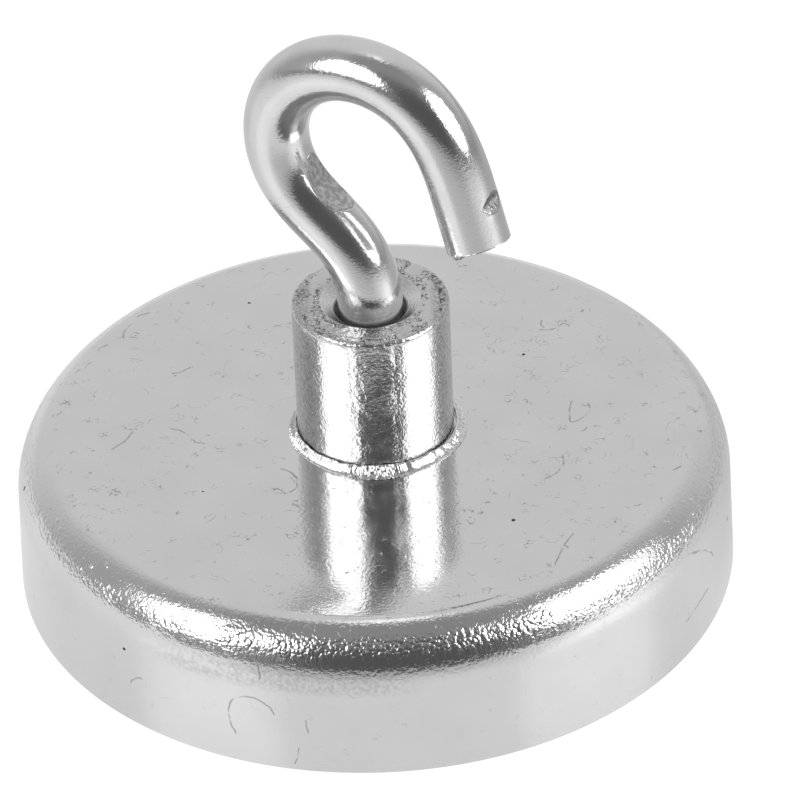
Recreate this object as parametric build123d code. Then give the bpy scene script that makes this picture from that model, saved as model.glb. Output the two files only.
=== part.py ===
from build123d import *
import math
import os

# Pot magnet with an open hook. A steel cup holds a magnet disc in its underside,
# a threaded bush is welded on its roof, and a bent wire hook is screwed into it.
# Millimetres, +Z up, origin at the centre of the contact face.
# The hook is bent in the XZ plane, with its free tip on the +X side.

# Steel pot
pot_rim_radius = 30.0
pot_draft = 0.25
pot_height = 13.25
pot_edge_radius = 4.65
pot_rim_wall = 3.8
pot_roof_thickness = 4.6
pot_rim_chamfer = 0.15
pot_corner_radius = 0.6

# Magnet disc and the potting ring round it
magnet_gap = 1.0
magnet_recess = 0.15
magnet_chamfer = 0.35
resin_clearance = 0.02
resin_recess = 0.45

# Threaded bush on the roof, welded a hair off the pot's middle
weld_offset_x = 0.27
weld_offset_y = 0.15
bush_radius = 6.55
bush_length = 12.95
bush_edge_radius = 0.45
bush_foot_chamfer = 0.25
bush_floor = 1.1
drill_point_angle = 118.0

# Mouth of the bush, countersunk and then clear of the thread
mouth_clearance = 0.32
mouth_depth = 1.6
mouth_chamfer_width = 1.17
mouth_chamfer_depth = 0.88

# Weld flash squeezed out round the foot of the bush, a little off centre
flash_width = 0.9
flash_height = 0.8
flash_toe_height = 0.12
flash_gap = 0.1
flash_offset_x = 0.27
flash_offset_y = -0.17

# Wire of the hook, and its rolled thread held at the pitch cylinder
wire_radius = 2.71
thread_relief = 0.035
thread_clearance = 0.015
thread_runout = 0.4
thread_end_gap = 0.8
thread_end_chamfer = 0.5

# Straight shank above the thread, then the bends in order up to the free tip
shank_clear = 1.52
bend_radius = 8.22
bend_angle = 49.6
neck_length = 3.07
loop_radius = 8.15
loop_angle = 212.4
tip_length = 9.2

# Shear cut of the free tip, tilted away from square
shear_angle = 11.0
shear_turn = 52.0
shear_edge_radius = 0.18

# Flat that the bending pin pressed into the inner side of the wire
pin_radius = 4.6
pin_depth = 0.52
pin_before_loop = 0.4
pin_twist = 7.0

# Nick that the bending stop left across the outer side of the tip
nick_depth = 0.42
nick_width = 1.8
nick_from_end = 4.68

# Sizes that follow from the ones above
cup_radius = pot_rim_radius - pot_rim_wall
cup_ceiling = pot_height - pot_roof_thickness
bush_top = pot_height + bush_length
thread_radius = wire_radius - thread_relief
bore_radius = thread_radius + thread_clearance
drill_point = bore_radius / math.tan(math.radians(drill_point_angle / 2))
bore_end = pot_height + bush_floor + drill_point
mouth_radius = wire_radius + mouth_clearance
mouth_floor = bush_top - mouth_depth
at_weld = Pos(weld_offset_x, weld_offset_y, 0)


def corner(section, radius, height):
    """Corner of a lathe section that lies nearest to a radius and height."""
    return section.vertices().sort_by_distance((radius, height))[0]


def steel_pot():
    """Cup with a thick roof, a drafted wall and a generous top edge."""
    shoulder = (pot_rim_radius - pot_draft, pot_height)
    with BuildPart() as pot:
        with BuildSketch(Plane.XZ) as section:
            with BuildLine():
                Polyline(
                    (0, pot_height),
                    shoulder,
                    (pot_rim_radius, 0),
                    (cup_radius, 0),
                    (cup_radius, cup_ceiling),
                    (0, cup_ceiling),
                    close=True,
                )
            make_face()
            fillet(corner(section, *shoulder), pot_edge_radius)
            fillet(corner(section, cup_radius, cup_ceiling), pot_corner_radius)
            chamfer(section.vertices().group_by(Axis.Y)[0], pot_rim_chamfer)
        revolve(axis=Axis.Z)
    return pot.part


def magnet_disc():
    """Disc that seats on the ceiling of the cup, a hair inside the rim."""
    with BuildPart(Plane.XY.offset(magnet_recess)) as disc:
        Cylinder(
            cup_radius - magnet_gap,
            cup_ceiling - magnet_recess,
            align=(Align.CENTER, Align.CENTER, Align.MIN),
        )
        chamfer(disc.edges().filter_by(GeomType.CIRCLE), magnet_chamfer)
    return disc.part


def resin_ring():
    """Potting compound in the gap between the disc and the cup wall."""
    top = cup_ceiling - pot_corner_radius
    with BuildPart() as ring:
        with BuildSketch(Plane.XY.offset(resin_recess)):
            Circle(cup_radius - resin_clearance)
            Circle(cup_radius - magnet_gap + resin_clearance, mode=Mode.SUBTRACT)
        extrude(amount=top - resin_recess)
    return ring.part


def threaded_bush():
    """Turned bush with a blind bore, countersunk where the hook enters."""
    with BuildPart() as bush:
        with BuildSketch(Plane.XZ) as section:
            with BuildLine():
                Polyline(
                    (0, pot_height),
                    (bush_radius, pot_height),
                    (bush_radius, bush_top),
                    (mouth_radius + mouth_chamfer_width, bush_top),
                    (mouth_radius, bush_top - mouth_chamfer_depth),
                    (mouth_radius, mouth_floor),
                    (bore_radius, mouth_floor),
                    (bore_radius, bore_end),
                    (0, bore_end - drill_point),
                    close=True,
                )
            make_face()
            fillet(corner(section, bush_radius, bush_top), bush_edge_radius)
            chamfer(corner(section, bush_radius, pot_height), bush_foot_chamfer)
        revolve(axis=Axis.Z)
    return bush.part


def weld_flash():
    """Rounded ring of flash with a thin gap between it and the bush."""
    inner = bush_radius + flash_gap
    outer = bush_radius + flash_width
    crest = pot_height + flash_height
    brow = (outer, pot_height + flash_toe_height)
    belly = (
        bush_radius + 0.62 * flash_width,
        pot_height + 0.68 * flash_height,
    )
    with BuildPart() as flash:
        with BuildSketch(Plane.XZ):
            with BuildLine():
                ThreePointArc(brow, belly, (bush_radius, crest))
                Polyline(
                    (bush_radius, crest),
                    (0, crest),
                    (0, pot_height),
                    (outer, pot_height),
                    brow,
                )
            make_face()
        revolve(axis=Axis.Z)
    mound = Pos(flash_offset_x, flash_offset_y, 0) * flash.part
    core = Pos(0, 0, pot_height) * Cylinder(inner, 4 * flash_height)
    return mound - core


def hook_path():
    """Middle line of the wire: shank, bend, neck, loop and tip."""
    with BuildLine(Plane.XZ) as path:
        shank = Line((0, bore_end + thread_end_gap), (0, mouth_floor + shank_clear))
        bend = JernArc(shank @ 1, shank % 1, bend_radius, bend_angle)
        neck = Line(bend @ 1, bend @ 1 + (bend % 1) * neck_length)
        loop = JernArc(neck @ 1, neck % 1, loop_radius, -loop_angle)
        tip = Line(loop @ 1, loop @ 1 + (loop % 1) * tip_length)
    return path.line, loop, tip


def rolled_thread(start):
    """Ring of metal to take off the shank, down to the pitch cylinder."""
    top = mouth_floor + thread_runout
    with BuildPart(Plane.XY.offset(start)) as ring:
        Cylinder(
            2 * wire_radius,
            top - start,
            align=(Align.CENTER, Align.CENTER, Align.MIN),
        )
        Cylinder(
            thread_radius,
            top - start,
            align=(Align.CENTER, Align.CENTER, Align.MIN),
            mode=Mode.SUBTRACT,
        )
    return ring.part


def wire_hook():
    """Bent wire with its rolled end, pin flat, stop nick and shear cut."""
    path, loop, tip = hook_path()
    section = Plane(origin=path @ 0, z_dir=path % 0) * Circle(wire_radius)
    hook = sweep(section, path=path)

    # Rolled end that screws into the bush.
    start = (path @ 0).Z
    hook = hook - rolled_thread(start)
    shank_end = hook.edges().group_by(Axis.Z)[0]
    hook = chamfer(shank_end, thread_end_chamfer)

    # Flat of the bending pin, on the side that faces the middle of the loop.
    inward = (loop.arc_center - loop @ 0).normalized()
    at_pin = Plane(
        origin=loop @ 0 - (loop % 0) * pin_before_loop,
        x_dir=inward,
        z_dir=loop % 0,
    )
    pin = (
        at_pin.location
        * Rot(0, 0, pin_twist)
        * Pos(wire_radius - pin_depth + pin_radius, 0, 0)
        * Rot(90, 0, 0)
        * Cylinder(pin_radius, 4 * wire_radius)
    )
    hook = hook - pin

    # Nick of the bending stop, straight across the outer side of the tip.
    outward = (loop @ 1 - loop.arc_center).normalized()
    at_nick = Plane(
        origin=tip @ 1 - (tip % 1) * nick_from_end,
        x_dir=outward,
        z_dir=(tip % 1).cross(outward),
    )
    notch = at_nick * Polygon(
        (wire_radius - nick_depth, 0),
        (wire_radius + nick_depth, nick_width),
        (wire_radius + nick_depth, -nick_width),
        align=None,
    )
    hook = hook - extrude(notch, amount=2 * wire_radius, both=True)

    # Shear cut that slants across the free end.
    reach = wire_radius * math.tan(math.radians(shear_angle))
    at_end = Plane(origin=tip @ 1 - (tip % 1) * reach, x_dir=outward, z_dir=tip % 1)
    shear = (
        at_end.location
        * Rot(0, 0, shear_turn)
        * Rot(0, shear_angle, 0)
        * Cylinder(
            2 * wire_radius,
            4 * wire_radius,
            align=(Align.CENTER, Align.CENTER, Align.MIN),
        )
    )
    hook = hook - shear
    sheared_face = hook.faces().filter_by(GeomType.PLANE).sort_by_distance(tip @ 1)[0]
    return fillet(sheared_face.edges(), shear_edge_radius)


pieces = {
    "pot": steel_pot(),
    "magnet": magnet_disc(),
    "resin_ring": resin_ring(),
    "bush": at_weld * threaded_bush(),
    "weld_flash": at_weld * weld_flash(),
    "hook": at_weld * wire_hook(),
}

os.makedirs("parts", exist_ok=True)
for node, solid in pieces.items():
    export_step(solid, os.path.join("parts", node + ".step"))
    print(node, round(solid.volume, 2), solid.bounding_box())
print("ok")
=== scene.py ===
# %% [markdown]
# # Pot magnet with an open hook
# A plated steel cup holds a magnet in its underside. A threaded bush is welded on
# its roof, and a bent wire hook is screwed into the bush. The solids are already
# there at their real size. What is left is what the eye reads first: how each metal
# surface was worked, plated, rubbed and knocked about. Bright metal shows the room,
# and its fine relief breaks that picture up, so the room comes before the finishes.

# %% Load the fixed frame
import bmesh
import bpy
import math
from mathutils import Matrix, Vector
from mathutils.noise import fractal


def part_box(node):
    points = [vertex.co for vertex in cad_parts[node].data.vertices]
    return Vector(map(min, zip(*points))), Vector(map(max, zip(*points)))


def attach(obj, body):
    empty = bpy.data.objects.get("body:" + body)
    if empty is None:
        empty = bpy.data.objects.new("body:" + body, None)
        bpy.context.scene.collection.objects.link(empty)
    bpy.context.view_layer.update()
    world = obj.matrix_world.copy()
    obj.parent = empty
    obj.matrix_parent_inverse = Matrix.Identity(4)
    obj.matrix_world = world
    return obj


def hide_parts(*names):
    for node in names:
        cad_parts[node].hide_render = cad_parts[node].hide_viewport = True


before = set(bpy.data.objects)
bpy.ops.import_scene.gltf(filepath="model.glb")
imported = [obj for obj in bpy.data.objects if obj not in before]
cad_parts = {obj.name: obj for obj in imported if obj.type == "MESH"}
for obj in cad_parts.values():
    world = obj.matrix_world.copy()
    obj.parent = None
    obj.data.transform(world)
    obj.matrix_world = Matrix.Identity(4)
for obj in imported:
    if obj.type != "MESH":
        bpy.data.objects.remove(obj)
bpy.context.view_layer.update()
MM = 0.001
print("nodes:", sorted(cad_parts))

# %% [markdown]
# ## Where the pieces lie
# The pot's roof is the top of its box, the bush stands on it, and the middle of the
# bush's box is the axis that the bush, the weld and the shank share. The frame, the
# camera, the lamps and the floor are in metres. The skins and the patterns are made
# in millimetres, and the sizes in capitals here are for them.

# %% Read the main sizes from the frame
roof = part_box("pot")[1].z
bush_low, bush_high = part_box("bush")
bush_axis = (bush_low + bush_high) / 2
ROOF = roof / MM
BUSH_TOP = bush_high.z / MM
BUSH_RADIUS = (bush_high.x - bush_low.x) / 2 / MM
print("roof", round(ROOF, 2), "bush radius", round(BUSH_RADIUS, 2), "mm")

# %% [markdown]
# ## Camera
# The picture was taken with a long lens from well above the pot, so the far rim
# looks almost as wide as the near one. The camera is given by what a photographer
# would set: the point it aims at, how far away it stands, how it is turned round
# the object, tipped down and rolled.

# %% Set up the camera
AIM = Vector((2.1, 1.2, 15.76)) * MM
CAMERA_DISTANCE = 666.4 * MM
CAMERA_TURN = math.radians(29.22)
CAMERA_TIP = 35.75
CAMERA_ROLL = math.radians(2.41)
LENS = 360.0
SENSOR = 36.0
CLIP_END = 10.0


def direction(turn=0.0, rise=0.0):
    """Unit vector, turned from the camera and raised above the floor, in degrees."""
    turn, rise = CAMERA_TURN + math.radians(turn), math.radians(rise)
    flat = math.cos(rise)
    return Vector((math.sin(turn) * flat, -math.cos(turn) * flat, math.sin(rise)))


def new_object(name, data):
    made = bpy.data.objects.new(name, data)
    bpy.context.scene.collection.objects.link(made)
    return made


def looking_at(aim, towards, distance, roll=0.0):
    """Matrix of a camera or lamp that looks at a point from a direction."""
    turned = (-towards).to_track_quat("-Z", "Y").to_matrix().to_4x4()
    turned = turned @ Matrix.Rotation(-roll, 4, "Z")
    return Matrix.Translation(aim + towards * distance) @ turned


def make_camera():
    towards = direction(0.0, CAMERA_TIP)
    data = bpy.data.cameras.new("camera")
    data.lens = LENS
    data.sensor_width = SENSOR
    data.clip_end = CLIP_END
    camera = new_object("camera", data)
    camera.matrix_world = looking_at(AIM, towards, CAMERA_DISTANCE, CAMERA_ROLL)
    bpy.context.scene.camera = camera
    return camera


camera = make_camera()
bpy.context.scene.view_settings.view_transform = "Standard"
print("camera stands at", [round(c, 3) for c in camera.location])

# %% [markdown]
# ## A few words for building shaders
# Every finish below is a graph of nodes. Written out in full, such graphs hide
# what they are for, so these helpers let a formula read like a formula. They add
# nodes to the tree that was named last and return an output, and a plain number
# may stand for an input.

# %% Helpers for node graphs
tree = None


def build_in(new_tree):
    """Let the helpers add their nodes to this tree from now on."""
    global tree
    tree = new_tree


def new_material(name):
    material = bpy.data.materials.new(name)
    material.use_nodes = True
    build_in(material.node_tree)
    return material


def feed(node, name, value):
    """Connect an output to an input of a node, or set the input to a plain value."""
    if isinstance(value, bpy.types.NodeSocket):
        tree.links.new(value, node.inputs[name])
    else:
        node.inputs[name].default_value = value


def new_node(kind, **inputs):
    node = tree.nodes.new("ShaderNode" + kind)
    for name, value in inputs.items():
        feed(node, name, value)
    return node


def calc(operation, first, second=0.0, third=0.0):
    node = new_node("Math")
    node.operation = operation
    for place, value in enumerate((first, second, third)):
        feed(node, place, value)
    return node.outputs[0]


def vector_calc(operation, first, second=(0.0, 0.0, 0.0), output="Vector"):
    node = new_node("VectorMath")
    node.operation = operation
    feed(node, 0, first)
    if operation == "SCALE":
        feed(node, "Scale", second)
    elif operation not in ("LENGTH", "NORMALIZE"):
        feed(node, 1, second)
    return node.outputs[output]


def ease(value, low, high, to_low=0.0, to_high=1.0):
    """Smooth change between two values while the input goes from low to high."""
    node = new_node("MapRange", Value=value)
    node.interpolation_type = "SMOOTHSTEP"
    names = ("From Min", "From Max", "To Min", "To Max")
    for name, part in zip(names, (low, high, to_low, to_high)):
        feed(node, name, part)
    return node.outputs["Result"]


def fall(value, low, high):
    """Smooth change from 1 to 0 while the input goes from low to high."""
    return ease(value, low, high, 1.0, 0.0)


def dot(first, second):
    return vector_calc("DOT_PRODUCT", first, second, "Value")


def blend(share, first, second):
    """Mix two numbers by a share from 0 to 1."""
    return new_node("Mix", Factor=share, A=first, B=second).outputs["Result"]


def folded(operation, amounts):
    """Join several numbers, two at a time."""
    total = amounts[0]
    for amount in amounts[1:]:
        total = calc(operation, total, amount)
    return total


def times(*amounts):
    return folded("MULTIPLY", amounts)


def summed(*amounts):
    return folded("ADD", amounts)


def least(*amounts):
    return folded("MINIMUM", amounts)


def most(*amounts):
    return folded("MAXIMUM", amounts)


# %% [markdown]
# ## The room
# A bright plated part is photographed in a pale room between two round softboxes,
# with the dark corner where the camera stands in front of it. The long white bands
# on the bush and on the pot's edge are the softboxes, and the dark ones between
# them are that corner. A black card would stand in the way of other views, so the
# brightness is painted on the world: pale behind and above, dim at the sides and
# dark round the camera. Two small things matter: a narrow panel overhead draws the
# thin white line where the roof bends down, and the dark edge of the table draws
# the thin dark one where the bend meets the wall.

# %% Paint the world by direction
ROOM_BEHIND = 0.71
ROOM_SIDES = 0.42
ROOM_EDGE = 0.2
PURE_WHITE = (1.0, 1.0, 1.0, 1.0)

# Cosines between which one brightness goes over into the next.
SIDES_FADE = (-0.9, -0.2)
EDGE_FADE = (-0.4, 0.2)
EDGE_HEIGHT = (0.05, 0.15)

# Round patches: direction, cosines at the rim and at the core, and brightness.
PATCHES = {
    "ceiling": (direction(0, 60), 0.69, 0.85, 0.30),
    "panel": (direction(176, 77), 0.9935, 0.9975, 1.3),
    "camera_corner": (direction(5, 15), 0.55, 0.97, 0.105),
}


def make_world():
    world = bpy.data.worlds.new("pale_room")
    bpy.context.scene.world = world
    world.use_nodes = True
    build_in(world.node_tree)
    tree.nodes.clear()
    look = new_node("TexCoord").outputs["Generated"]
    flat = vector_calc("MULTIPLY", look, (1.0, 1.0, 0.0))
    flat = vector_calc("NORMALIZE", flat)
    front = dot(flat, direction())
    room = ease(front, *SIDES_FADE, ROOM_BEHIND, ROOM_SIDES)
    for middle, rim, core, brightness in PATCHES.values():
        room = blend(ease(dot(look, middle), rim, core), room, brightness)
    up = dot(look, (0.0, 0.0, 1.0))
    edge = times(fall(up, *EDGE_HEIGHT), ease(front, *EDGE_FADE))
    room = blend(edge, room, least(room, ROOM_EDGE))
    rays = new_node("LightPath").outputs
    room = blend(rays["Is Camera Ray"], room, 1.0)
    background = new_node("Background", Strength=room, Color=PURE_WHITE)
    new_node("OutputWorld", Surface=background.outputs[0])


make_world()

# %% [markdown]
# ## Two softboxes
# Softboxes stand close to a small object, so their reflections are wide. Each is a
# round area lamp, given by its direction and by the angle that it fills. Radiance
# is power divided by pi times the area, so the power follows from the radiance.

# %% Hang the softboxes
LAMP_DISTANCE = 0.45

# Turn from the camera, rise and half of the filled angle in degrees, and radiance.
LAMPS = {
    "softbox_left": (-56, 34, 20, 2.5),
    "softbox_right": (69, 30, 22, 2.5),
}
LAMP_AIM = Vector((0.0, 0.0, roof))


def hang_softbox(name, turn, rise, spread, radiance):
    data = bpy.data.lights.new(name, "AREA")
    data.shape = "DISK"
    data.size = 2 * LAMP_DISTANCE * math.tan(math.radians(spread))
    data.energy = radiance * math.pi * math.pi * (data.size / 2) ** 2
    lamp = new_object(name, data)
    towards = direction(turn, rise)
    lamp.matrix_world = looking_at(LAMP_AIM, towards, LAMP_DISTANCE)
    lamp.visible_camera = False
    print(name, "across", round(data.size, 3), "m, power", round(data.energy, 3), "W")


for name, (turn, rise, spread, radiance) in LAMPS.items():
    hang_softbox(name, turn, rise, spread, radiance)

# %% [markdown]
# ## Floor
# The pot stands on a white table that runs to the horizon. Its white comes from
# its own glow, seen by the camera and by the metal, and not from more light on the
# object. A share of it stays ordinary matt white, which keeps the soft shadow
# round the foot of the pot. In the metal the table is not equally bright all
# round: towards the camera and behind both sides of the pot it lies in the shade
# of the room, and the dark foot of every reflection comes from there.

# %% Lay the floor
FLOOR_REACH = 6.0
FLOOR_GLOW = 0.86
GLOW_IN_METAL = 0.58
FAR_GLOW_IN_METAL = 0.42
GLOW_FADES = (0.08, 0.4)
FLOOR_WHITE = 0.30
FLOOR_WHITE_SEEN = 0.8
FLOOR_GLOSS = 0.25

# Turn from the camera, cosines at the rim and the core of the shade, its share
# close to the pot, and its depth. The shade is full from the second distance on.
SHADE_STARTS = (0.042, 0.09)
SHADES = (
    (0, 0.72, 0.99, 0.0, 0.24),
    (125, 0.6, 0.97, 0.5, 0.36),
    (-140, 0.75, 0.97, 0.4, 0.15),
)


def lay_floor():
    r = FLOOR_REACH
    mesh = bpy.data.meshes.new("floor")
    corners = [(-r, -r, 0), (r, -r, 0), (r, r, 0), (-r, r, 0)]
    mesh.from_pydata(corners, [], [(0, 1, 2, 3)])
    floor = new_object("floor", mesh)
    material = new_material("white_table")
    rays = new_node("LightPath").outputs
    mirrored = most(rays["Is Glossy Ray"], rays["Is Transmission Ray"])
    place = new_node("TexCoord").outputs["Object"]
    far = vector_calc("LENGTH", place, output="Value")
    towards = vector_calc("NORMALIZE", place)
    in_metal = ease(far, *GLOW_FADES, GLOW_IN_METAL, FAR_GLOW_IN_METAL)
    for turn, low, high, close, depth in SHADES:
        share = ease(dot(towards, direction(turn)), low, high, 0.0, -depth)
        out = ease(far, *SHADE_STARTS, close, 1.0)
        in_metal = calc("MULTIPLY_ADD", share, out, in_metal)
    glow = calc("MULTIPLY", rays["Is Camera Ray"], FLOOR_GLOW)
    glow = calc("MULTIPLY_ADD", mirrored, in_metal, glow)
    seen = most(rays["Is Camera Ray"], mirrored)
    shader = tree.nodes["Principled BSDF"]
    feed(shader, "Roughness", FLOOR_GLOSS)
    feed(shader, "Emission Color", PURE_WHITE)
    feed(shader, "Base Color", blend(seen, FLOOR_WHITE_SEEN, FLOOR_WHITE))
    feed(shader, "Emission Strength", glow)
    mesh.materials.append(material)


lay_floor()

# %% [markdown]
# ## Patterns in millimetres
# A mark only looks right at its real size, so every pattern below is laid over the
# object in millimetres. Three patterns do most of the work: soft noise for relief,
# the thin line where a noise crosses its middle value for hair scratches, and the
# distance to a chosen place for the marks that sit in a known spot.

# %% Helpers for patterns


def in_mm():
    """Place on the object in millimetres."""
    return vector_calc("SCALE", new_node("TexCoord").outputs["Object"], 1 / MM)


def noise(place, per_mm, detail=0.0, output="Fac"):
    """Soft noise round 0.5, with so many waves to a millimetre."""
    node = new_node("TexNoise", Vector=place, Scale=per_mm, Detail=detail)
    return node.outputs[output]


def drift(place, per_mm, detail, low, high):
    """A value that wanders between two others."""
    return ease(noise(place, per_mm, detail), 0.3, 0.7, low, high)


def cells(place, per_mm):
    """Distance to the nearest of many scattered points."""
    return new_node("TexVoronoi", Vector=place, Scale=per_mm).outputs["Distance"]


def pebbles(place, per_mm):
    """Low domes with creases between them, up to 1 high."""
    return calc("SUBTRACT", 1.0, calc("POWER", cells(place, per_mm), 2.0))


def moved(place, step):
    """The same place a few waves further on, where a noise has another pattern."""
    return vector_calc("ADD", place, step)


def shaken(place, per_mm, reach):
    """Places pushed about by a noise, so that drawn marks are not quite true."""
    push = noise(place, per_mm, 1.0, "Color")
    push = vector_calc("SUBTRACT", push, (0.5, 0.5, 0.5))
    return vector_calc("ADD", place, vector_calc("SCALE", push, 2 * reach))


def hairs(value, width):
    """Thin lines where a noise crosses its middle value."""
    away = calc("ABSOLUTE", calc("SUBTRACT", value, 0.5))
    return fall(away, 0.3 * width, width)


def round_axis(place, axis):
    """Distance from an upright axis, in millimetres."""
    across = vector_calc("SUBTRACT", place, (axis[0], axis[1], 0.0))
    across = vector_calc("MULTIPLY", across, (1.0, 1.0, 0.0))
    return vector_calc("LENGTH", across, output="Value")


def height_of(place):
    return dot(place, (0.0, 0.0, 1.0))


# %% [markdown]
# ## Marks in a known place
# A noise spreads marks evenly, and a real part has a few that the eye remembers: a
# black pit, a curved scratch. A scratch is the arc of a circle through three points
# on the metal. Its distance is that of a ball through them, kept to the
# neighbourhood of the middle point.

# %% Helpers for single marks


def from_point(place, point, radius=0.0):
    """Distance to a ball round a point."""
    away = vector_calc("DISTANCE", place, point, "Value")
    return calc("SUBTRACT", away, radius)


def from_arc(place, first, middle, last):
    """Distance to the arc that passes through three points."""
    first, middle, last = Vector(first), Vector(middle), Vector(last)
    a, b = first - last, middle - last
    normal = a.cross(b)
    centre = last + (a.length_squared * b - b.length_squared * a).cross(normal) / (
        2 * normal.length_squared
    )
    circle = calc("ABSOLUTE", from_point(place, centre, (first - centre).length))
    reach = ((first - middle).length + (last - middle).length) / 2
    return most(circle, from_point(place, middle, reach))


def spots(place, marks, inner, outer):
    """Share that falls outwards over the rims of balls, each a point and a radius."""
    return fall(least(*[from_point(place, *mark) for mark in marks]), inner, outer)


# %% [markdown]
# ## Bright metal
# All the finishes start from one plated metal: fully metallic and pale. A finish is
# then three fields. The tone says how much light the metal gives back, the roughness
# how far a reflection is smeared, and the relief, in millimetres, where its picture
# is bent. One bump node turns the relief into tilts of the surface.

# %% One bright metal to start from


def bright_metal(name):
    material = new_material(name)
    feed(tree.nodes["Principled BSDF"], "Metallic", 1.0)
    return material, in_mm()


def finish(material, tone, roughness, relief):
    """Hand the three fields to the shader."""
    bump = new_node("Bump", Strength=1.0, Distance=MM, Height=relief)
    shader = tree.nodes["Principled BSDF"]
    feed(shader, "Base Color", tone)
    feed(shader, "Roughness", roughness)
    feed(shader, "Normal", bump.outputs["Normal"])
    return material


def wear(node, material):
    """Give a solid of the frame its finish."""
    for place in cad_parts[node].material_slots:
        place.material = material
    print("finish", material.name, "has", len(material.node_tree.nodes), "nodes")


# %% [markdown]
# ## Skins turned round an axis
# The pot, the bush and the ring of weld flash are round, but not simple: the bush
# has a torn top face, and the flash is a string of frozen drops. A lathe shape with
# a rule for each point gives them all. The rule gets a row of the section and a turn
# round the axis, and answers with a point, so it can add teeth, dents and pits.

# %% Helper for turned skins


def turned_skin(name, rows, columns, shape, on_axis):
    """Closed skin; with on_axis, the first and last rows are single points."""
    mesh = bpy.data.meshes.new(name)
    built = bmesh.new()
    rings = []
    for row in range(rows):
        single = on_axis and row in (0, rows - 1)
        turns = (0.0,) if single else [math.tau * c / columns for c in range(columns)]
        rings.append([built.verts.new(shape(row, turn)) for turn in turns])
    pairs = list(zip(rings, rings[1:]))
    if not on_axis:
        pairs.append((rings[-1], rings[0]))
    for below, above in pairs:
        for c in range(columns):
            corners = [below[c % len(below)], below[(c + 1) % len(below)]]
            corners += [above[(c + 1) % len(above)], above[c % len(above)]]
            built.faces.new(dict.fromkeys(corners)).smooth = True
    bmesh.ops.recalc_face_normals(built, faces=built.faces)
    built.to_mesh(mesh)
    built.free()
    print(name, "has", len(mesh.polygons), "faces")
    return new_object(name, mesh)


def clamped(value):
    return min(1.0, max(0.0, value))


def peak(value, middle, reach):
    """1 at the middle and straight down to 0 at its reach."""
    return max(0.0, 1 - abs(value - middle) / reach)


def window(turn, middle, half_width, soft=0.2):
    """Share from 0 to 1 for turns near a middle one, which is given in degrees."""
    away = abs((turn - math.radians(middle) + math.pi) % math.tau - math.pi)
    return clamped((math.radians(half_width) - away) / soft + 0.5)


def grain(point, per_mm, octaves=1):
    """Noise round zero at a point in millimetres."""
    return fractal(Vector(point) * per_mm, 0.8, 2.0, octaves)


# %% [markdown]
# ## Skin of the pot
# A plain round edge starts where the flat roof ends, and mirrors a wide smear there.
# The press did it otherwise: it bent the steel sharply at first and then eased off,
# so the roof stays flat for almost a millimetre more and ends in a crisp line. The
# skin has that profile. Elsewhere it is the solid: wall, rim, cavity and ceiling.

# %% Shape of the pot
RIM_RADIUS = 30.0
WALL_DRAFT = 0.25 / ROOF
EDGE_RADIUS = 4.65
EDGE_MIDDLE = Vector((25.187, 0.0, ROOF - EDGE_RADIUS))
LAST_TILT = math.pi / 2 - math.atan(WALL_DRAFT)
LONGER_ROOF = 0.9
FLATTER_BEND = 0.5
CAVITY_RADIUS = 26.2
CEILING_HEIGHT = 8.65
CAVITY_CORNER = 0.6
RIM_CHAMFER = 0.15
TIGHT = 0.02


def edge_point(tilt):
    """Radius and height where the bend leans by a tilt from the roof."""
    rest = 1 - tilt / LAST_TILT
    outwards = EDGE_RADIUS + LONGER_ROOF * tilt * rest**3
    outwards -= FLATTER_BEND * (tilt * rest) ** 2
    slide = LONGER_ROOF * (rest**3 - 3 * tilt / LAST_TILT * rest**2)
    slide -= FLATTER_BEND * 2 * tilt * rest * (rest - tilt / LAST_TILT)
    sine, cosine = math.sin(tilt), math.cos(tilt)
    radius = EDGE_MIDDLE.x + outwards * sine + slide * cosine
    return radius, EDGE_MIDDLE.z + outwards * cosine - slide * sine


def pot_section():
    wall = (8.0, 6.0, 4.0, 2.0, 0.5, RIM_CHAMFER + TIGHT, RIM_CHAMFER)
    points = [(0.0, ROOF), (12.0, ROOF), (24.0, ROOF), (25.8, ROOF), (26.06, ROOF)]
    points += [edge_point(LAST_TILT * (i / 64) ** 1.4) for i in range(65)]
    points += [(RIM_RADIUS - WALL_DRAFT * h, h) for h in wall]
    outer, inner = RIM_RADIUS - RIM_CHAMFER, CAVITY_RADIUS + RIM_CHAMFER
    points += [(r, 0.0) for r in (outer, outer - TIGHT, 28.0, inner + TIGHT, inner)]
    points += [(CAVITY_RADIUS, h) for h in (RIM_CHAMFER, RIM_CHAMFER + TIGHT, 4.0)]
    for i in range(7):
        turn = math.radians(15 * i)
        radius = CAVITY_RADIUS - CAVITY_CORNER * (1 - math.cos(turn))
        points.append((radius, CEILING_HEIGHT - CAVITY_CORNER * (1 - math.sin(turn))))
    return points + [(CAVITY_RADIUS - 1.0, CEILING_HEIGHT), (0.0, CEILING_HEIGHT)]


POT_SECTION = pot_section()
POT_COLUMNS = 720


def pot_point(row, turn):
    radius, height = POT_SECTION[row]
    return Vector((radius * math.cos(turn), radius * math.sin(turn), height)) * MM


pot = turned_skin("pot_skin", len(POT_SECTION), POT_COLUMNS, pot_point, True)
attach(pot, "root")
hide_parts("pot")
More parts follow.
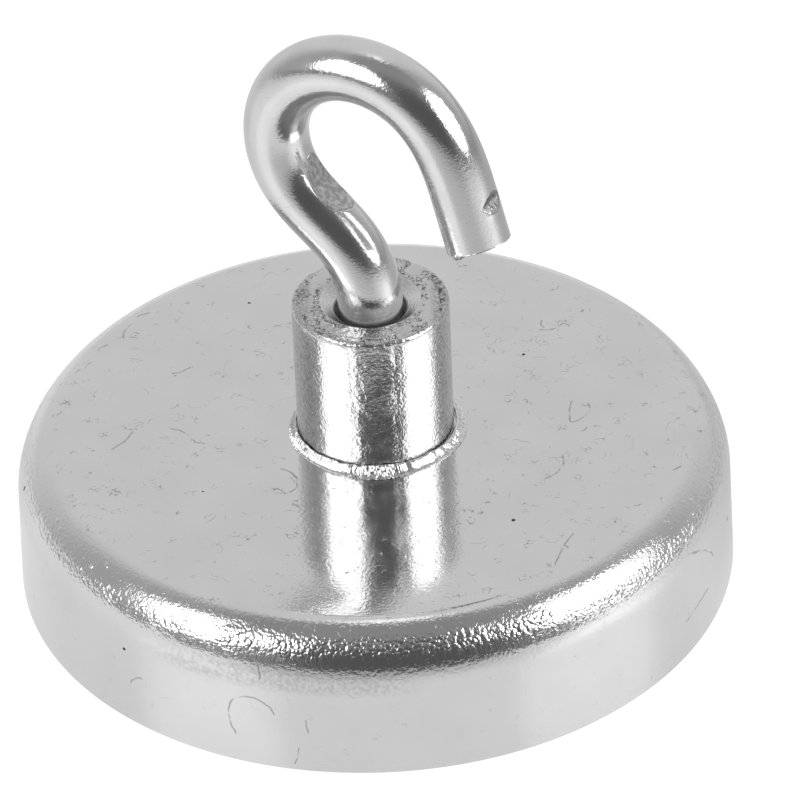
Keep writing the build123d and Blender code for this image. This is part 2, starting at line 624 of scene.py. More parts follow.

# %% [markdown]
# ## Marks on the pot
# These are the marks that can be told apart on the plating: curved hair scratches
# on the roof, a few long ones on the wall, black pits where the plating did not
# take, small clusters of knocks, and chips caught under the plating. They are
# written down one by one, in millimetres.

# %% Where the pot is scratched and pitted
ROOF_SCRATCHES = (
    ((16.3, 3.0), (17.0, 1.2), (16.5, -0.4)),
    ((13.5, 10.2), (14.0, 8.8), (14.8, 7.5)),
    ((15.0, 10.4), (15.5, 9.0), (14.7, 7.4)),
    ((6.5, 18.3), (7.3, 18.8), (7.7, 19.9)),
    ((7.7, 19.9), (8.0, 20.0), (8.4, 19.8)),
    ((5.9, 19.7), (6.1, 19.1), (6.4, 18.8)),
    ((-18.1, -12.2), (-17.7, -10.3), (-17.9, -8.4)),
    ((-15.2, -7.5), (-13.6, -7.6), (-12.5, -8.2)),
    ((-12.2, -8.3), (-11.4, -8.2), (-10.3, -8.5)),
    ((-4.0, -8.6), (-2.5, -8.9), (-1.7, -10.0)),
    ((-1.7, -10.0), (-1.6, -10.8), (-2.0, -11.4)),
    ((-25.1, 2.2), (-25.5, 3.1), (-25.5, 4.2)),
    ((-18.8, -0.5), (-18.2, 0.1), (-17.9, 0.9)),
    ((22.0, -6.5), (22.1, -8.5), (22.6, -10.8)),
    ((3.6, 17.5), (4.1, 17.6), (4.6, 17.5)),
    ((16.2, 6.8), (16.3, 7.1), (16.3, 7.4)),
    ((16.8, 7.8), (17.2, 8.0), (17.7, 8.0)),
    ((-24.6, -9.8), (-24.6, -9.0), (-24.3, -8.3)),
)
EDGE_AND_WALL_SCRATCHES = (
    ((-25.9, 0.7, 13.2), (-26.1, 0.3, 13.2), (-26.2, -0.3, 13.1)),
    ((25.4, 5.1, 13.2), (25.6, 5.7, 13.1), (25.7, 6.2, 13.1)),
    ((-25.6, 5.3, 13.1), (-25.4, 5.9, 13.2), (-24.9, 6.4, 13.2)),
    ((29.6, -1.5, 10.0), (29.8, 2.0, 8.4), (29.7, 3.5, 7.1)),
    ((29.8, 2.3, 4.1), (29.9, 0.4, 3.9), (29.9, -1.8, 3.5)),
    ((4.9, -29.1, 10.2), (5.1, -29.3, 9.5), (5.1, -29.4, 8.9)),
    ((2.8, -29.8, 2.9), (2.3, -29.8, 4.3), (2.6, -29.8, 6.0)),
    ((2.6, -29.8, 6.0), (4.4, -29.6, 6.8), (6.3, -29.2, 5.2)),
    ((-7.5, -29.0, 3.7), (-7.0, -29.1, 4.6), (-6.2, -29.2, 5.0)),
    ((8.8, -28.6, 5.3), (8.8, -28.6, 4.6), (8.9, -28.6, 4.1)),
    ((7.75, -28.97, 0.75), (8.03, -28.88, 1.5), (8.1, -28.84, 2.3)),
)
PITS = (
    ((16.7, -6.7, 13.25), 0.17),
    ((28.5, 8.9, 6.6), 0.2),
    ((6.8, 14.5, 13.25), 0.15),
    ((-23.9, -17.0, 10.6), 0.2),
    ((-7.9, -28.8, 7.2), 0.14),
    ((-17.9, 11.3, 13.25), 0.12),
    ((-8.3, -14.1, 13.25), 0.09),
)
KNOCKS = (
    ((-15.0, -17.3, 13.25), 0.55),
    ((-11.9, -15.2, 13.25), 0.3),
    ((24.2, -3.4, 13.25), 0.3),
    ((-19.7, -10.7, 13.25), 0.4),
    ((-24.9, -8.1, 13.1), 0.5),
    ((14.5, 6.4, 13.25), 0.3),
    ((-24.4, 2.9, 13.25), 0.5),
    ((20.1, 18.4, 12.8), 0.4),
    ((23.1, 13.6, 13.0), 0.45),
    ((17.9, 20.9, 12.6), 0.35),
    ((22.4, 16.9, 12.3), 0.45),
    ((24.9, 11.6, 12.9), 0.3),
)
CHIPS = (
    ((21.2, 5.9, 13.25), 0.16),
    ((-18.0, -21.6, 12.2), 0.2),
    ((-17.3, -22.3, 12.1), 0.17),
    ((-12.6, -25.5, 11.9), 0.2),
    ((-11.1, -25.5, 12.5), 0.17),
)
scratches = len(ROOF_SCRATCHES) + len(EDGE_AND_WALL_SCRATCHES)
print(scratches, "scratches and", len(PITS + KNOCKS + CHIPS), "spots on the pot")

# %% [markdown]
# ## Plated pot
# The cup was pressed from thick steel. Its roof stayed flat and smooth, and so did
# the wall, but over the bend of the edge the steel stretched and its skin came up
# like orange peel. That is why the softboxes break into grains there and stay whole
# elsewhere. A fine noise does for the flats. Over the bend it is higher, and small
# pebbles are added where the steel stretched most. Just under the bend, a little
# left of the camera, a painted shade darkens the plating, broken up by a noise.

# %% Finish of the pot
PEEL_PER_MM = 3.4
PEEL_ON_FLATS = 0.008
PEEL_ON_BEND = 0.022
PEBBLES_PER_MM = 2.7
PEBBLES_ON_BEND = 0.075
PORES_ON_BEND = 0.01
BEND_BELOW_ROOF = (26.0, 27.6)
BEND_ABOVE_WALL = (6.6, 8.2)
SCRATCH_WIDTH = (0.03, 0.1)
SCRATCH_DEPTH = 0.012
PIT_DEPTH = 0.06
CHIP_HEIGHT = 0.035


def pot_finish():
    material, place = bright_metal("bright_plated_steel")
    radius = round_axis(place, (0.0, 0.0))
    height = height_of(place)

    bend = times(
        ease(radius, *BEND_BELOW_ROOF),
        ease(height, 9.6, 11.0, 0.6, 1.0),
        ease(height, *BEND_ABOVE_WALL),
    )
    facing = dot(place, direction())
    lower = ease(facing, 22.0, 27.5, -0.85, 0.0)
    level = calc("SUBTRACT", height, lower)
    stretched = times(
        bend,
        ease(level, 10.8, 11.5, 0.22, 1.0),
        fall(level, 12.1, 12.8),
        ease(noise(moved(place, (1, 4, 4)), 0.3, 1.0), 0.3, 0.6, 0.4, 1.0),
    )
    peel = noise(place, PEEL_PER_MM, 2.0)
    relief = times(peel, calc("MULTIPLY_ADD", bend, PEEL_ON_BEND, PEEL_ON_FLATS))
    crooked = shaken(place, 1.6, 0.12)
    domes = pebbles(crooked, PEBBLES_PER_MM)
    relief = calc("MULTIPLY_ADD", times(domes, stretched), PEBBLES_ON_BEND, relief)
    pores = times(noise(place, 8.0, 1.0), bend, PORES_ON_BEND)

    # Hair scratches in loose patches, and short dashes between them. The wall has few.
    loose = shaken(place, 0.5, 0.8)
    patches = ease(noise(moved(place, (7, 3, 5)), 0.55, 1.0), 0.57, 0.7)
    long_hairs = times(hairs(noise(loose, 0.4, 1.0), 0.006), patches)
    dash_patches = ease(noise(moved(place, (2, 9, 4)), 0.9, 1.0), 0.6, 0.7)
    dashes = times(hairs(noise(place, 1.9, 0.0), 0.03), dash_patches)
    on_roof = ease(radius, 26.5, 29.3, 1.0, 0.3)
    long_hairs = times(long_hairs, on_roof, 0.75)
    dashes = times(dashes, on_roof)

    # The marks written down above.
    scratches = [
        from_arc(crooked, *[(x, y, ROOF) for x, y in arc]) for arc in ROOF_SCRATCHES
    ]
    scratches += [from_arc(crooked, *arc) for arc in EDGE_AND_WALL_SCRATCHES]
    drawn = fall(least(*scratches), *SCRATCH_WIDTH)
    broken = ease(noise(place, 1.1, 1.0), 0.36, 0.5, 0.15, 1.0)
    pits = spots(crooked, PITS, -0.03, 0.03)
    crumbs = ease(noise(place, 4.0, 1.0), 0.52, 0.6)
    knocks = times(spots(crooked, KNOCKS, -0.2, 0.25), crumbs)
    chips = spots(crooked, CHIPS, -0.12, 0.05)

    marks = most(long_hairs, dashes, times(drawn, broken), knocks)
    relief = summed(relief, pores, times(marks, -SCRATCH_DEPTH))
    relief = summed(relief, times(pits, -PIT_DEPTH), times(chips, CHIP_HEIGHT))
    tone = drift(place, 0.16, 3.0, 0.725, 0.755)
    tone = times(tone, blend(marks, 1.0, 0.6), blend(pits, 1.0, 0.05))
    # Painted shade just under the bend, a little left of the camera, broken up by a
    # noise.
    shaded_side = dot(place, direction(-16))
    painted_shade_under_bend = times(
        ease(height, 7.5, 8.4),
        fall(height, 9.4, 10.2),
        ease(shaded_side, 27.0, 29.0),
    )
    patchy_shade = ease(noise(place, 3.0, 4.0), 0.32, 0.68, 0.78, 0.97)
    tone = times(tone, blend(painted_shade_under_bend, 1.0, patchy_shade))
    roughness = drift(place, 0.5, 3.0, 0.085, 0.125)
    roughness = blend(most(marks, pits), roughness, 0.3)
    return finish(material, tone, roughness, relief)


pot.data.materials.append(pot_finish())

# %% [markdown]
# ## Weld flash
# The bush was welded on by a pulse of current while it was pressed down, and the
# molten skin was squeezed out into a ring. It froze as it ran: fine radial teeth on
# one side, smooth beads, and crumbs at the front. The solid has the round ring, and
# the skin that stands for it has the teeth.

# %% Shape of the weld flash
FLASH_WIDTH = 0.9
FLASH_HEIGHT = 0.74
FLASH_GAP = 0.07
FLASH_SHIFT = Vector((0.27, -0.17))
FLASH_SECTION = (
    *((0.0, 0.0), (0.0, 0.6), (0.03, 0.93), (0.12, 1.0), (0.24, 0.9), (0.42, 0.66)),
    *((0.62, 0.38), (0.8, 0.2), (0.94, 0.12), (1.0, 0.07), (0.97, 0.02), (0.88, 0.0)),
)
FLASH_STEPS = 3
FLASH_COLUMNS = 1440
TOOTH_PITCH = 0.18
FRONT = CAMERA_TURN - math.pi / 2


def along_section(row):
    """Share of the width and of the height at a row, a few rows to each corner."""
    corner, step = divmod(row, FLASH_STEPS)
    first = Vector(FLASH_SECTION[corner])
    last = Vector(FLASH_SECTION[min(corner + 1, len(FLASH_SECTION) - 1)])
    return first.lerp(last, step / FLASH_STEPS)


def flash_point(row, turn):
    out = Vector((math.cos(turn), math.sin(turn)))
    side = turn - FRONT
    front = window(side, -3, 17)
    right = window(side, 82, 30, 0.4)
    beads = window(side, -38, 20, 0.4)
    beads += window(side, 38, 20, 0.4)
    teeth = window(side, -80, 38, 0.5)
    teeth = max(teeth, 0.8 * window(side, 165, 50, 0.5))

    inner = BUSH_RADIUS + FLASH_GAP + 0.09 * right
    along = out.dot(FLASH_SHIFT)
    outer = BUSH_RADIUS + FLASH_WIDTH
    outer = along + math.sqrt(along**2 - FLASH_SHIFT.length_squared + outer**2)
    outer -= 0.2 * beads
    across, up = along_section(row)
    here = (7 * out.x, 7 * out.y, 0.5 * across)
    lump = grain(here, 1.1, 2)
    crumb = grain((7 * out.x, 7 * out.y, 0.5 * up), 4.2, 3)
    wander = turn * outer + 0.12 * grain(here, 1.5)
    tooth = 0.5 + 0.5 * math.cos(math.tau * wander / TOOTH_PITCH)
    skin = 0.03 * lump - 0.06 * teeth * (1 - tooth) * (0.3 + across)
    skin += (0.006 + 0.09 * front + 0.05 * right + 0.02 * teeth) * crumb
    loose = min(1.0, 4 * across) * min(1.0, 3 * up + 0.4)
    radius = inner + (outer - inner) * across + 0.8 * skin * loose
    high = FLASH_HEIGHT * (1 + 0.14 * lump + 0.12 * front - 0.15 * right)
    high = high * up + 0.6 * skin * loose if up > 0 else 0.0
    spot = Vector((bush_axis.x / MM, bush_axis.y / MM)) + out * radius
    return Vector((spot.x, spot.y, ROOF + max(0.0, high))) * MM


FLASH_ROWS = FLASH_STEPS * (len(FLASH_SECTION) - 1) + 1
flash = turned_skin("flash_skin", FLASH_ROWS, FLASH_COLUMNS, flash_point, False)
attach(flash, "root")
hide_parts("weld_flash")

# %% [markdown]
# ## Finish of the weld flash
# Frozen metal is smoother than the pressed steel beside it, so the plating on it is
# bright. Fine grains are added in the relief, below what the skin can carry.

# %% Finish of the weld flash


def flash_finish():
    material, place = bright_metal("plated_weld_flash")
    specks = noise(place, 5.0, 2.0)
    relief = times(specks, 0.013)
    # Painted shade: patches placed by a noise are darkened, as if they lay in hollows
    # between the drops.
    painted_hollow_shade = fall(noise(place, 2.6, 2.0), 0.34, 0.46)
    tone = drift(place, 0.7, 2.0, 0.78, 0.84)
    tone = times(tone, blend(painted_hollow_shade, 1.0, 0.75))
    roughness = ease(specks, 0.3, 0.7, 0.12, 0.22)
    return finish(material, tone, roughness, relief)


flash.data.materials.append(flash_finish())

# %% [markdown]
# ## Turned bush
# The bush was cut from bar. Its side carries the shallow dents of a rough bar under
# the plating, and its top face was torn by the parting tool: pitted along the edge
# of the countersink and along part of the rim, and smooth at the front, where the
# tool left one groove. The dents and the torn face are real shape in this skin, and
# only the finest grain is left to the bump node.

# %% Section of the bush
BUSH_EDGE = 0.45
BUSH_FOOT = 0.25
BORE_RADIUS = 2.69
BORE_END = 15.966
BORE_POINT = 14.35
MOUTH_RADIUS = 3.03
MOUTH_FLOOR = BUSH_TOP - 1.6
SINK_WIDTH = 1.17
SINK_DEPTH = 0.88
EDGE_STEPS = 7


def run(first, last, step):
    """Points from one to the next at about a step apart, without the last one."""
    first, last = Vector(first), Vector(last)
    count = max(1, round((last - first).length / step))
    return [first.lerp(last, i / count) for i in range(count)]


def bush_section():
    rim, shoulder = BUSH_RADIUS - BUSH_EDGE, BUSH_TOP - BUSH_EDGE
    sink, sink_floor = MOUTH_RADIUS + SINK_WIDTH, BUSH_TOP - SINK_DEPTH
    foot = ROOF + BUSH_FOOT
    points = [Vector((0.0, ROOF))]
    points += run((BUSH_RADIUS - BUSH_FOOT, ROOF), (BUSH_RADIUS, foot), 0.12)
    points += run((BUSH_RADIUS, foot), (BUSH_RADIUS, shoulder), 0.2)
    for i in range(EDGE_STEPS):
        turn = math.radians(90 * i / EDGE_STEPS)
        across, up = BUSH_EDGE * math.cos(turn), BUSH_EDGE * math.sin(turn)
        points.append(Vector((rim + across, shoulder + up)))
    points += run((rim, BUSH_TOP), (sink, BUSH_TOP), 0.07)
    points += run((sink, BUSH_TOP), (MOUTH_RADIUS, sink_floor), 0.1)
    points += run((MOUTH_RADIUS, sink_floor), (MOUTH_RADIUS, MOUTH_FLOOR), 0.25)
    points += [Vector((BORE_RADIUS, MOUTH_FLOOR)), Vector((BORE_RADIUS, BORE_END))]
    return points + [Vector((0.0, BORE_POINT))]


BUSH_SECTION = bush_section()

# %% Shape of the bush
BUSH_COLUMNS = 480

# Radius of the worst tears, and the middle and half width of their arc in degrees.
TEARS = ((4.5, -110, 62), (4.5, 105, 60), (5.9, 80, 45), (5.9, -95, 30))
TEAR_REACH = 0.45
SHALLOW_TEAR = 0.035
DEEP_TEAR = 0.2
GROOVE_RADIUS = 5.75
GROOVE_REACH = 0.12
GROOVE_DEPTH = 0.035


def bush_point(row, turn):
    radius, height = BUSH_SECTION[row]
    out = Vector((math.cos(turn), math.sin(turn), 0.0))
    place = out * radius + Vector((0.0, 0.0, height))
    side = turn - FRONT
    clear = clamped((height - ROOF - 0.6) / 0.6)
    if radius > BUSH_RADIUS - BUSH_EDGE:
        dents = grain(place, 0.8, 3)
        faced = window(side, 0, 30, 0.4)
        inwards = (0.01 + 0.01 * faced) * clear * min(0.0, dents - 0.25)
        nick = grain(place + Vector((5.0, 0.0, 0.0)), 1.3, 2)
        lip = clamped((height - BUSH_TOP + 0.6) / 0.3)
        inwards += 0.06 * lip * min(0.0, nick + 0.1)
        place += out * inwards
    if height > BUSH_TOP - SINK_DEPTH and radius < BUSH_RADIUS:
        torn = grain(place, 1.9, 3)
        share = max(
            peak(radius, tear, TEAR_REACH) * window(side, middle, half_width, 0.5)
            for tear, middle, half_width in TEARS
        )
        deep = SHALLOW_TEAR + DEEP_TEAR * share
        flat = clamped((radius - 4.1) / 0.2)
        place.z += flat * deep * min(0.0, torn - 0.15)
        groove = window(side, 0, 50, 0.5) * peak(radius, GROOVE_RADIUS, GROOVE_REACH)
        place.z -= GROOVE_DEPTH * flat * groove
    return place * MM + Vector((bush_axis.x, bush_axis.y, 0.0))


bush = turned_skin("bush_skin", len(BUSH_SECTION), BUSH_COLUMNS, bush_point, True)
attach(bush, "root")
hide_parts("bush")

# %% [markdown]
# ## Finish of the bush
# On the side the plating lies over bar stock: grains of a quarter of a millimetre
# that break the edges of the light bands, and faint streaks along the bar. Swirls
# bend the dark reflection in the middle, and the flanks that the camera sees edge-on
# are specked with painted shade. The top face is duller, and the cracks in its tears
# are painted dark as shade.

# %% Finish of the bush
TURNING_PITCH = 0.28
TURNING_HEIGHT = 0.004
STREAK_HEIGHT = 0.01
SWIRL_HEIGHT = 0.13
TEAR_HEIGHT = 0.04


def bush_finish():
    material, place = bright_metal("plated_bar_steel")
    height = height_of(place)
    radius = round_axis(place, (bush_axis.x / MM, bush_axis.y / MM))
    on_top = times(
        ease(height, BUSH_TOP - 0.2, BUSH_TOP - 0.12),
        ease(radius, 4.1, 4.25),
    )
    across = vector_calc("SUBTRACT", place, (bush_axis.x / MM, bush_axis.y / MM, 0.0))
    faced = dot(across, direction())
    across_view = calc("ABSOLUTE", dot(across, direction(90)))
    faced = ease(faced, 0.955 * BUSH_RADIUS, 0.985 * BUSH_RADIUS, 0.1, 1.0)
    shaded_flanks = ease(across_view, 0.72 * BUSH_RADIUS, 0.82 * BUSH_RADIUS)
    peel = noise(place, 4.6, 2.0)
    drawn = vector_calc("MULTIPLY", place, (1.0, 1.0, 0.12))
    streaks = noise(drawn, 2.8, 2.0)
    flattened = vector_calc("MULTIPLY", place, (1.0, 1.0, 1.5))
    swirls = noise(shaken(flattened, 1.1, 0.5), 1.9, 3.0)
    calm = ease(noise(moved(place, (8, 2, 2)), 0.5, 1.0), 0.4, 0.6, 0.55, 1.0)
    lathe = calc("SINE", calc("MULTIPLY", radius, math.tau / TURNING_PITCH))
    in_sink = fall(radius, 4.15, 4.22)
    relief = summed(
        times(peel, calc("MULTIPLY_ADD", shaded_flanks, 0.02, 0.034)),
        times(streaks, STREAK_HEIGHT),
        times(swirls, faced, calm, SWIRL_HEIGHT),
        times(lathe, in_sink, TURNING_HEIGHT),
    )

    # Tears of the top face: thickest beside the countersink and along the rim.
    beside_sink = calc("ABSOLUTE", calc("SUBTRACT", radius, 4.5))
    beside_rim = calc("ABSOLUTE", calc("SUBTRACT", radius, 5.95))
    thick = ease(least(beside_sink, beside_rim), 0.1, 0.45, 0.17, 0.0)
    torn = noise(moved(shaken(place, 1.5, 0.3), (3, 1, 8)), 2.4, 2.0)
    gate = noise(moved(place, (6, 6, 2)), 0.8, 1.0)
    gate = ease(calc("ADD", gate, thick), 0.56, 0.64)
    shaded_cracks = times(hairs(torn, 0.05), on_top, gate)
    relief = summed(relief, times(on_top, torn, TEAR_HEIGHT))
    relief = summed(relief, times(shaded_cracks, -TEAR_HEIGHT))
    tone = drift(place, 0.6, 2.0, 0.7, 0.75)
    # Painted shade: the cracks of the tears are painted dark.
    tone = times(tone, blend(shaded_cracks, 1.0, 0.25), blend(on_top, 1.0, 0.87))
    # Painted shade on the flanks that the camera sees edge-on, broken into specks.
    specks = ease(noise(place, 4.0, 3.0), 0.38, 0.58, 0.72, 1.0)
    tone = times(tone, blend(shaded_flanks, 1.0, calc("MULTIPLY", specks, 0.92)))
    roughness = drift(place, 1.2, 2.0, 0.11, 0.17)
    roughness = blend(on_top, roughness, 0.24)
    roughness = blend(fall(radius, 3.1, 3.2), roughness, 0.6)
    return finish(material, tone, roughness, relief)


bush.data.materials.append(bush_finish())

# %% [markdown]
# ## Path of the wire
# Drawn wire is the smoothest steel here, so it is the best mirror, and a mirror
# gives away how a bend was made. Plain arcs and straight runs have a jump in their
# curvature, and every reflection breaks off at such a jump. Real wire springs into
# its bends little by little. This path follows the solid's to within a fifth of a
# millimetre, but its curvature rises and falls over a few millimetres. It is walked
# in small steps: each step turns the heading a little and moves on.

# %% Walk along the wire
WIRE_RADIUS = 2.71
WIRE_START = 16.766
BEND_START = 9.354
BEND_RADIUS = 8.22
BEND_ANGLE = math.radians(49.96)
NECK_LENGTH = 3.04
LOOP_RADIUS = 8.084
LOOP_ANGLE = math.radians(214.8)
TIP_LENGTH = 9.04
WALK_STEP = 0.02
LOOP_START = BEND_START + BEND_RADIUS * BEND_ANGLE + NECK_LENGTH
LOOP_END = LOOP_START + LOOP_RADIUS * LOOP_ANGLE
WIRE_LENGTH = LOOP_END + TIP_LENGTH


def ramp(travel, junction, length):
    """Rise from 0 to 1 over a length round a junction."""
    return clamped((travel - junction) / length + 0.5)


def curvature(travel):
    """Turn to the right for each millimetre of wire."""
    bend = ramp(travel, BEND_START, 2.0) * ramp(-travel, NECK_LENGTH - LOOP_START, 3.0)
    loop = ramp(travel, LOOP_START, 3.0) * ramp(-travel, -LOOP_END, 9.0)
    return loop / LOOP_RADIUS - bend / BEND_RADIUS


def walk_wire():
    place = Vector((bush_axis.x / MM, bush_axis.y / MM, WIRE_START))
    heading = 0.0
    walked = [(place.copy(), heading)]
    for i in range(round(WIRE_LENGTH / WALK_STEP)):
        middle = heading + curvature((i + 0.5) * WALK_STEP) * WALK_STEP / 2
        place += Vector((math.sin(middle), 0.0, math.cos(middle))) * WALK_STEP
        heading += curvature((i + 0.5) * WALK_STEP) * WALK_STEP
        walked.append((place.copy(), heading))
    return walked


WALKED = walk_wire()
TIP_END = WALKED[-1][0]
TIP_ALONG = Vector((math.sin(WALKED[-1][1]), 0.0, math.cos(WALKED[-1][1])))
TIP_OUT = Vector((-TIP_ALONG.z, 0.0, TIP_ALONG.x))
ACROSS = Vector((0.0, 1.0, 0.0))
print("wire:", round(WIRE_LENGTH, 1), "mm, up to", [round(c, 2) for c in TIP_END])

# %% [markdown]
# ## Tool marks of the wire
# Bending it cold has left three marks: the flat where it was bent round a pin, the
# nick of the stop and the sheared end. Each is a simple cut. A point of the round
# wire that lies inside the pin's cylinder moves back to the cylinder, one that lies
# beyond the sides of the nick moves back to them, and the wire's end is a slanted
# plane. The same numbers tell the finish later where the metal is matt.

# %% Where the tools touched the wire
PIN_RADIUS = 4.6
PIN_AXIS = Vector((-0.289, 0.978, 39.243))
PIN_ALONG = Vector((-0.079, 0.9925, -0.0928)).normalized()
NICK_DEPTH = 0.42
NICK_SLOPE = 0.467
NICK_FROM_END = 4.68
NICK_FLOOR = TIP_END - TIP_ALONG * NICK_FROM_END + TIP_OUT * (WIRE_RADIUS - NICK_DEPTH)
SHEAR_ANGLE = math.radians(11)
SHEAR_TURN = math.radians(52)
SHEAR_FACES = TIP_ALONG * math.cos(SHEAR_ANGLE) + math.sin(SHEAR_ANGLE) * (
    TIP_OUT * math.cos(SHEAR_TURN) - ACROSS * math.sin(SHEAR_TURN)
)
SHEAR_POINT = TIP_END - TIP_ALONG * WIRE_RADIUS * math.tan(SHEAR_ANGLE)


def pressed_by_pin(middle, point):
    """Move a point of the wire out of the pin, towards the wire's middle line."""
    start = middle - PIN_AXIS
    start -= PIN_ALONG * start.dot(PIN_ALONG)
    spoke = point - middle
    spoke -= PIN_ALONG * spoke.dot(PIN_ALONG)
    if (start + spoke).length >= PIN_RADIUS:
        return point
    half = start.dot(spoke)
    rest = start.length_squared - PIN_RADIUS**2
    square = spoke.length_squared
    share = (-half - math.sqrt(half**2 - square * rest)) / square
    return middle + (point - middle) * share


def nicked_by_stop(point):
    """Move a point back to the sides of the nick, and crumple the lip below it."""
    away = point - NICK_FLOOR
    along = away.dot(TIP_ALONG)
    if abs(along) > 2.0 or away.dot(TIP_OUT) < -1.5:
        return point
    crumple = 0.03 * grain(point, 2.5, 2)
    limit = NICK_SLOPE * abs(along) + crumple
    over = away.dot(TIP_OUT) - limit
    if over > 0:
        return point - TIP_OUT * over
    lip = peak(along, 0.95, 0.35) * max(0.0, 1 + 3 * over)
    return point + TIP_OUT * lip * (0.05 + 1.5 * crumple)


# %% [markdown]
# ## Skin of the wire
# The skin is a tube along the walked path. Its rows are close together where the
# wire is seen and wide apart inside the bush. The last rows end on the shear plane,
# so each column of points gets its own length, and the cap closes over it.

# %% Shape of the wire
SHANK_RELIEF = 0.035
THREAD_TOP = 8.25
CHAMFER = 0.5
ROW_STEP = 0.17
FULL_UP_TO = WIRE_LENGTH - 1.6
CAP_ROWS = 16
HOOK_COLUMNS = 120


def hook_rows():
    """Travel along the wire and radius at each row."""
    thread = WIRE_RADIUS - SHANK_RELIEF
    rows = [(0.0, 0.0), (0.0, thread - CHAMFER), (CHAMFER, thread)]
    rows += [(CHAMFER + (THREAD_TOP - CHAMFER) * i / 8, thread) for i in range(1, 9)]
    travel = THREAD_TOP + SHANK_RELIEF
    while travel < FULL_UP_TO:
        rows.append((travel, WIRE_RADIUS))
        travel += ROW_STEP
    steps = [FULL_UP_TO + (WIRE_LENGTH - 0.12 - FULL_UP_TO) * i / 9 for i in range(10)]
    rows += [(step, WIRE_RADIUS) for step in steps]
    rows += [(WIRE_LENGTH - 0.05, WIRE_RADIUS - 0.02), (WIRE_LENGTH, WIRE_RADIUS - 0.1)]
    return rows + [
        (WIRE_LENGTH, WIRE_RADIUS * (1 - i / CAP_ROWS)) for i in range(1, CAP_ROWS + 1)
    ]


HOOK_ROWS = hook_rows()


def hook_point(row, turn):
    travel, radius = HOOK_ROWS[row]
    middle, heading = WALKED[min(round(travel / WALK_STEP), len(WALKED) - 1)]
    right = Vector((math.cos(heading), 0.0, -math.sin(heading)))
    spoke = right * math.cos(turn) + ACROSS * math.sin(turn)
    if travel > FULL_UP_TO:
        start = TIP_END - TIP_ALONG * (WIRE_LENGTH - FULL_UP_TO) + spoke * radius
        to_plane = (SHEAR_POINT - start).dot(SHEAR_FACES) / TIP_ALONG.dot(SHEAR_FACES)
        share = (travel - FULL_UP_TO) / (WIRE_LENGTH - FULL_UP_TO)
        point = start + TIP_ALONG * to_plane * share
        torn = max(0.0, 1 - radius / WIRE_RADIUS) ** 0.3 if share >= 1 else 0.0
        return (point - TIP_ALONG * 0.05 * torn * (0.5 + grain(point, 1.4, 3))) * MM
    point = middle + spoke * radius
    if radius == WIRE_RADIUS:
        point = nicked_by_stop(pressed_by_pin(middle, point))
    return point * MM


hook = turned_skin("hook_skin", len(HOOK_ROWS), HOOK_COLUMNS, hook_point, True)
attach(hook, "root")
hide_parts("hook")

# %% [markdown]
# ## Finish of the wire
# The plating on the wire is the smoothest of all, with a faint skin of its own that
# mottles the dark reflections. The flat, the nick and the cut are matt, and the
# upper side of the nick carries a painted shade.

# %% Finish of the wire
SKIN_HEIGHT = 0.009
GRIT_HEIGHT = 0.09
RUB_DEPTH = 0.005


def from_axis(place, point, along):
    """Distance from a slanted axis."""
    away = vector_calc("SUBTRACT", place, point)
    share = dot(away, along)
    away = vector_calc("SUBTRACT", away, vector_calc("SCALE", along, share))
    return vector_calc("LENGTH", away, output="Value")


def hook_finish():
    material, place = bright_metal("bright_drawn_wire")
    from_pin = from_axis(place, PIN_AXIS, PIN_ALONG)
    flat = fall(from_pin, PIN_RADIUS + 0.02, PIN_RADIUS + 0.06)
    from_tip = from_axis(place, SHEAR_POINT, TIP_ALONG)
    nick = times(
        fall(from_point(place, NICK_FLOOR), 2.1, 2.3),
        fall(from_tip, WIRE_RADIUS - 0.06, WIRE_RADIUS - 0.02),
    )
    past = vector_calc("SUBTRACT", place, SHEAR_POINT)
    past = dot(past, SHEAR_FACES)
    end = times(ease(past, -0.1, -0.03), fall(from_tip, 3.0, 3.4))

    peel = noise(place, 3.0, 2.0)
    fine = noise(place, 6.0, 2.0)
    grit = noise(place, 3.6, 3.0)
    matt = most(flat, nick, end)
    skin = summed(times(peel, SKIN_HEIGHT), times(fine, SKIN_HEIGHT))
    relief = summed(skin, times(grit, matt, GRIT_HEIGHT))

    loose = shaken(place, 0.6, 0.5)
    rub = ease(noise(moved(place, (4, 8, 1)), 0.5, 1.0), 0.56, 0.7)
    rubs = times(hairs(noise(loose, 0.7, 1.0), 0.008), rub, 0.6)
    relief = summed(relief, times(rubs, -RUB_DEPTH))
    tone = drift(place, 0.4, 2.0, 0.72, 0.76)
    # Painted shade: the upper side of the nick is painted darker.
    shaded_upper_facet = vector_calc("SUBTRACT", place, NICK_FLOOR)
    shaded_upper_facet = dot(shaded_upper_facet, TIP_ALONG)
    shaded_upper_facet = times(nick, fall(shaded_upper_facet, -0.1, 0.1))
    tone = times(tone, blend(rubs, 1.0, 0.8), blend(matt, 1.0, 0.74))
    worn = ease(noise(place, 2.2, 3.0), 0.35, 0.65, 0.7, 1.15)
    tone = times(tone, blend(shaded_upper_facet, 1.0, 0.6), blend(matt, 1.0, worn))
    roughness = drift(place, 0.8, 3.0, 0.1, 0.16)
    roughness = blend(matt, roughness, 0.34)
    return finish(material, tone, roughness, relief)


hook.data.materials.append(hook_finish())

# %% [markdown]
# ## Burr on the sheared end
# Shears tear the last sliver of a wire instead of cutting it. The sliver stays at
# one side of the end as a small bright burr. It is a bent drop: a thin tube along
# the rim of the cut, thick in its middle and drawn out to a point at both ends.

# %% Shape of the burr
BURR_MIDDLE = math.radians(-104)
BURR_SPAN = math.radians(38)
BURR_THICKNESS = 0.26
BURR_ROWS = 25
BURR_COLUMNS = 16


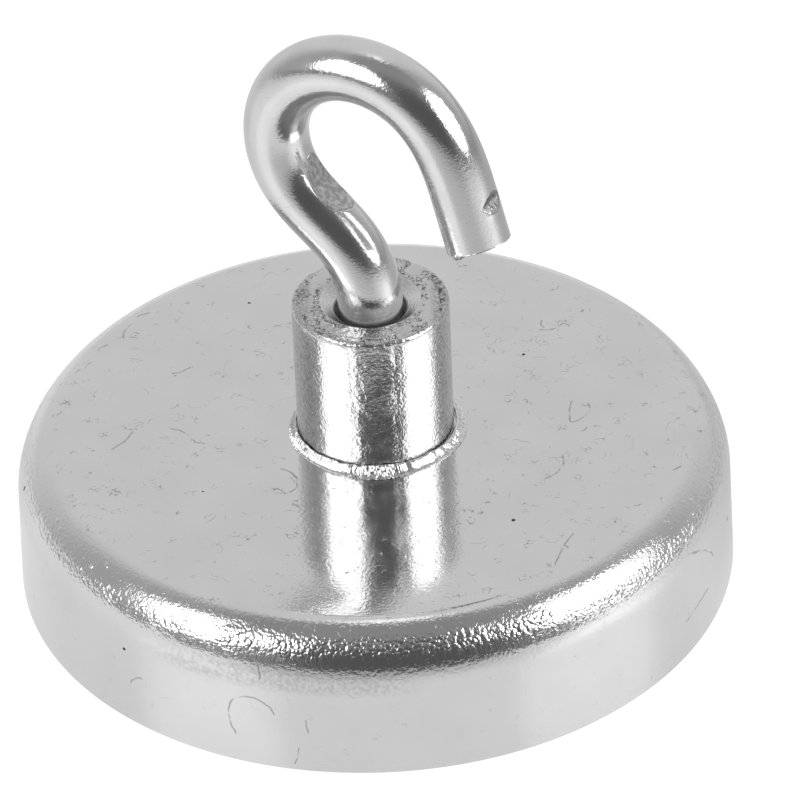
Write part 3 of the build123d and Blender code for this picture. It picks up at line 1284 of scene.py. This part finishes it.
def burr_point(row, turn):
    share = row / (BURR_ROWS - 1)
    angle = BURR_MIDDLE + BURR_SPAN * (share - 0.5)
    spoke = TIP_OUT * math.cos(angle) + ACROSS * math.sin(angle)
    down = -WIRE_RADIUS * spoke.dot(SHEAR_FACES) / TIP_ALONG.dot(SHEAR_FACES)
    thick = BURR_THICKNESS * math.sin(math.pi * share) ** 0.8
    thick *= 1 + 0.35 * grain((9 * share, 0.0, 0.0), 0.9, 2)
    middle = SHEAR_POINT + spoke * (WIRE_RADIUS - 0.17) + TIP_ALONG * (down - 0.02)
    edge = spoke * math.cos(turn) + TIP_ALONG * math.sin(turn) * 1.2
    lump = 1 + 0.25 * grain((5 * share, math.cos(turn), math.sin(turn)), 1.0, 2)
    return (middle + edge * thick * lump) * MM


burr = turned_skin("shear_burr", BURR_ROWS, BURR_COLUMNS, burr_point, True)
burr.data.materials.append(bpy.data.materials["bright_drawn_wire"])
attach(burr, "root")

# %% [markdown]
# ## Magnet and resin
# The magnet is a coated disc. Its face touches whatever it holds, so it is scuffed
# more than the pot. The ring of potting compound is the only part that is not metal:
# dull, dark and slightly pitted where air got in while it was poured.

# %% Finish of the magnet and of the resin
# Three crossing families of scuffs: shift of the pattern, waves to a mm, width.
SCUFFS = (((1, 2, 3), 0.5, 0.02), ((5, 4, 2), 0.8, 0.02), ((9, 1, 6), 1.3, 0.03))
BUBBLES_PER_MM = 1.6


def magnet_finish():
    material, place = bright_metal("scuffed_nickel")
    loose = shaken(place, 0.3, 1.5)
    fields = []
    for step, per_mm, width in SCUFFS:
        line = hairs(noise(moved(loose, step), per_mm, 1.0), width)
        share = ease(noise(moved(place, step), 0.25, 2.0), 0.4, 0.6)
        fields.append(times(line, share))
    scuffs = most(*fields)
    relief = summed(times(noise(place, 6.0, 2.0), 0.006), times(scuffs, -0.01))
    tone = drift(place, 0.15, 3.0, 0.6, 0.68)
    tone = times(tone, blend(scuffs, 1.0, 0.8))
    roughness = drift(place, 0.3, 3.0, 0.22, 0.36)
    return finish(material, tone, roughness, relief)


def resin_finish():
    material, place = bright_metal("potting_resin")
    feed(tree.nodes["Principled BSDF"], "Metallic", 0.0)
    bubbles = fall(cells(place, BUBBLES_PER_MM), 0.12, 0.24)
    lumps = noise(place, 1.4, 3.0)
    relief = summed(times(lumps, 0.03), times(bubbles, -0.08))
    tone = ease(lumps, 0.3, 0.7, 0.025, 0.045)
    roughness = drift(place, 3.0, 2.0, 0.35, 0.6)
    return finish(material, tone, roughness, relief)


wear("magnet", magnet_finish())
wear("resin_ring", resin_finish())
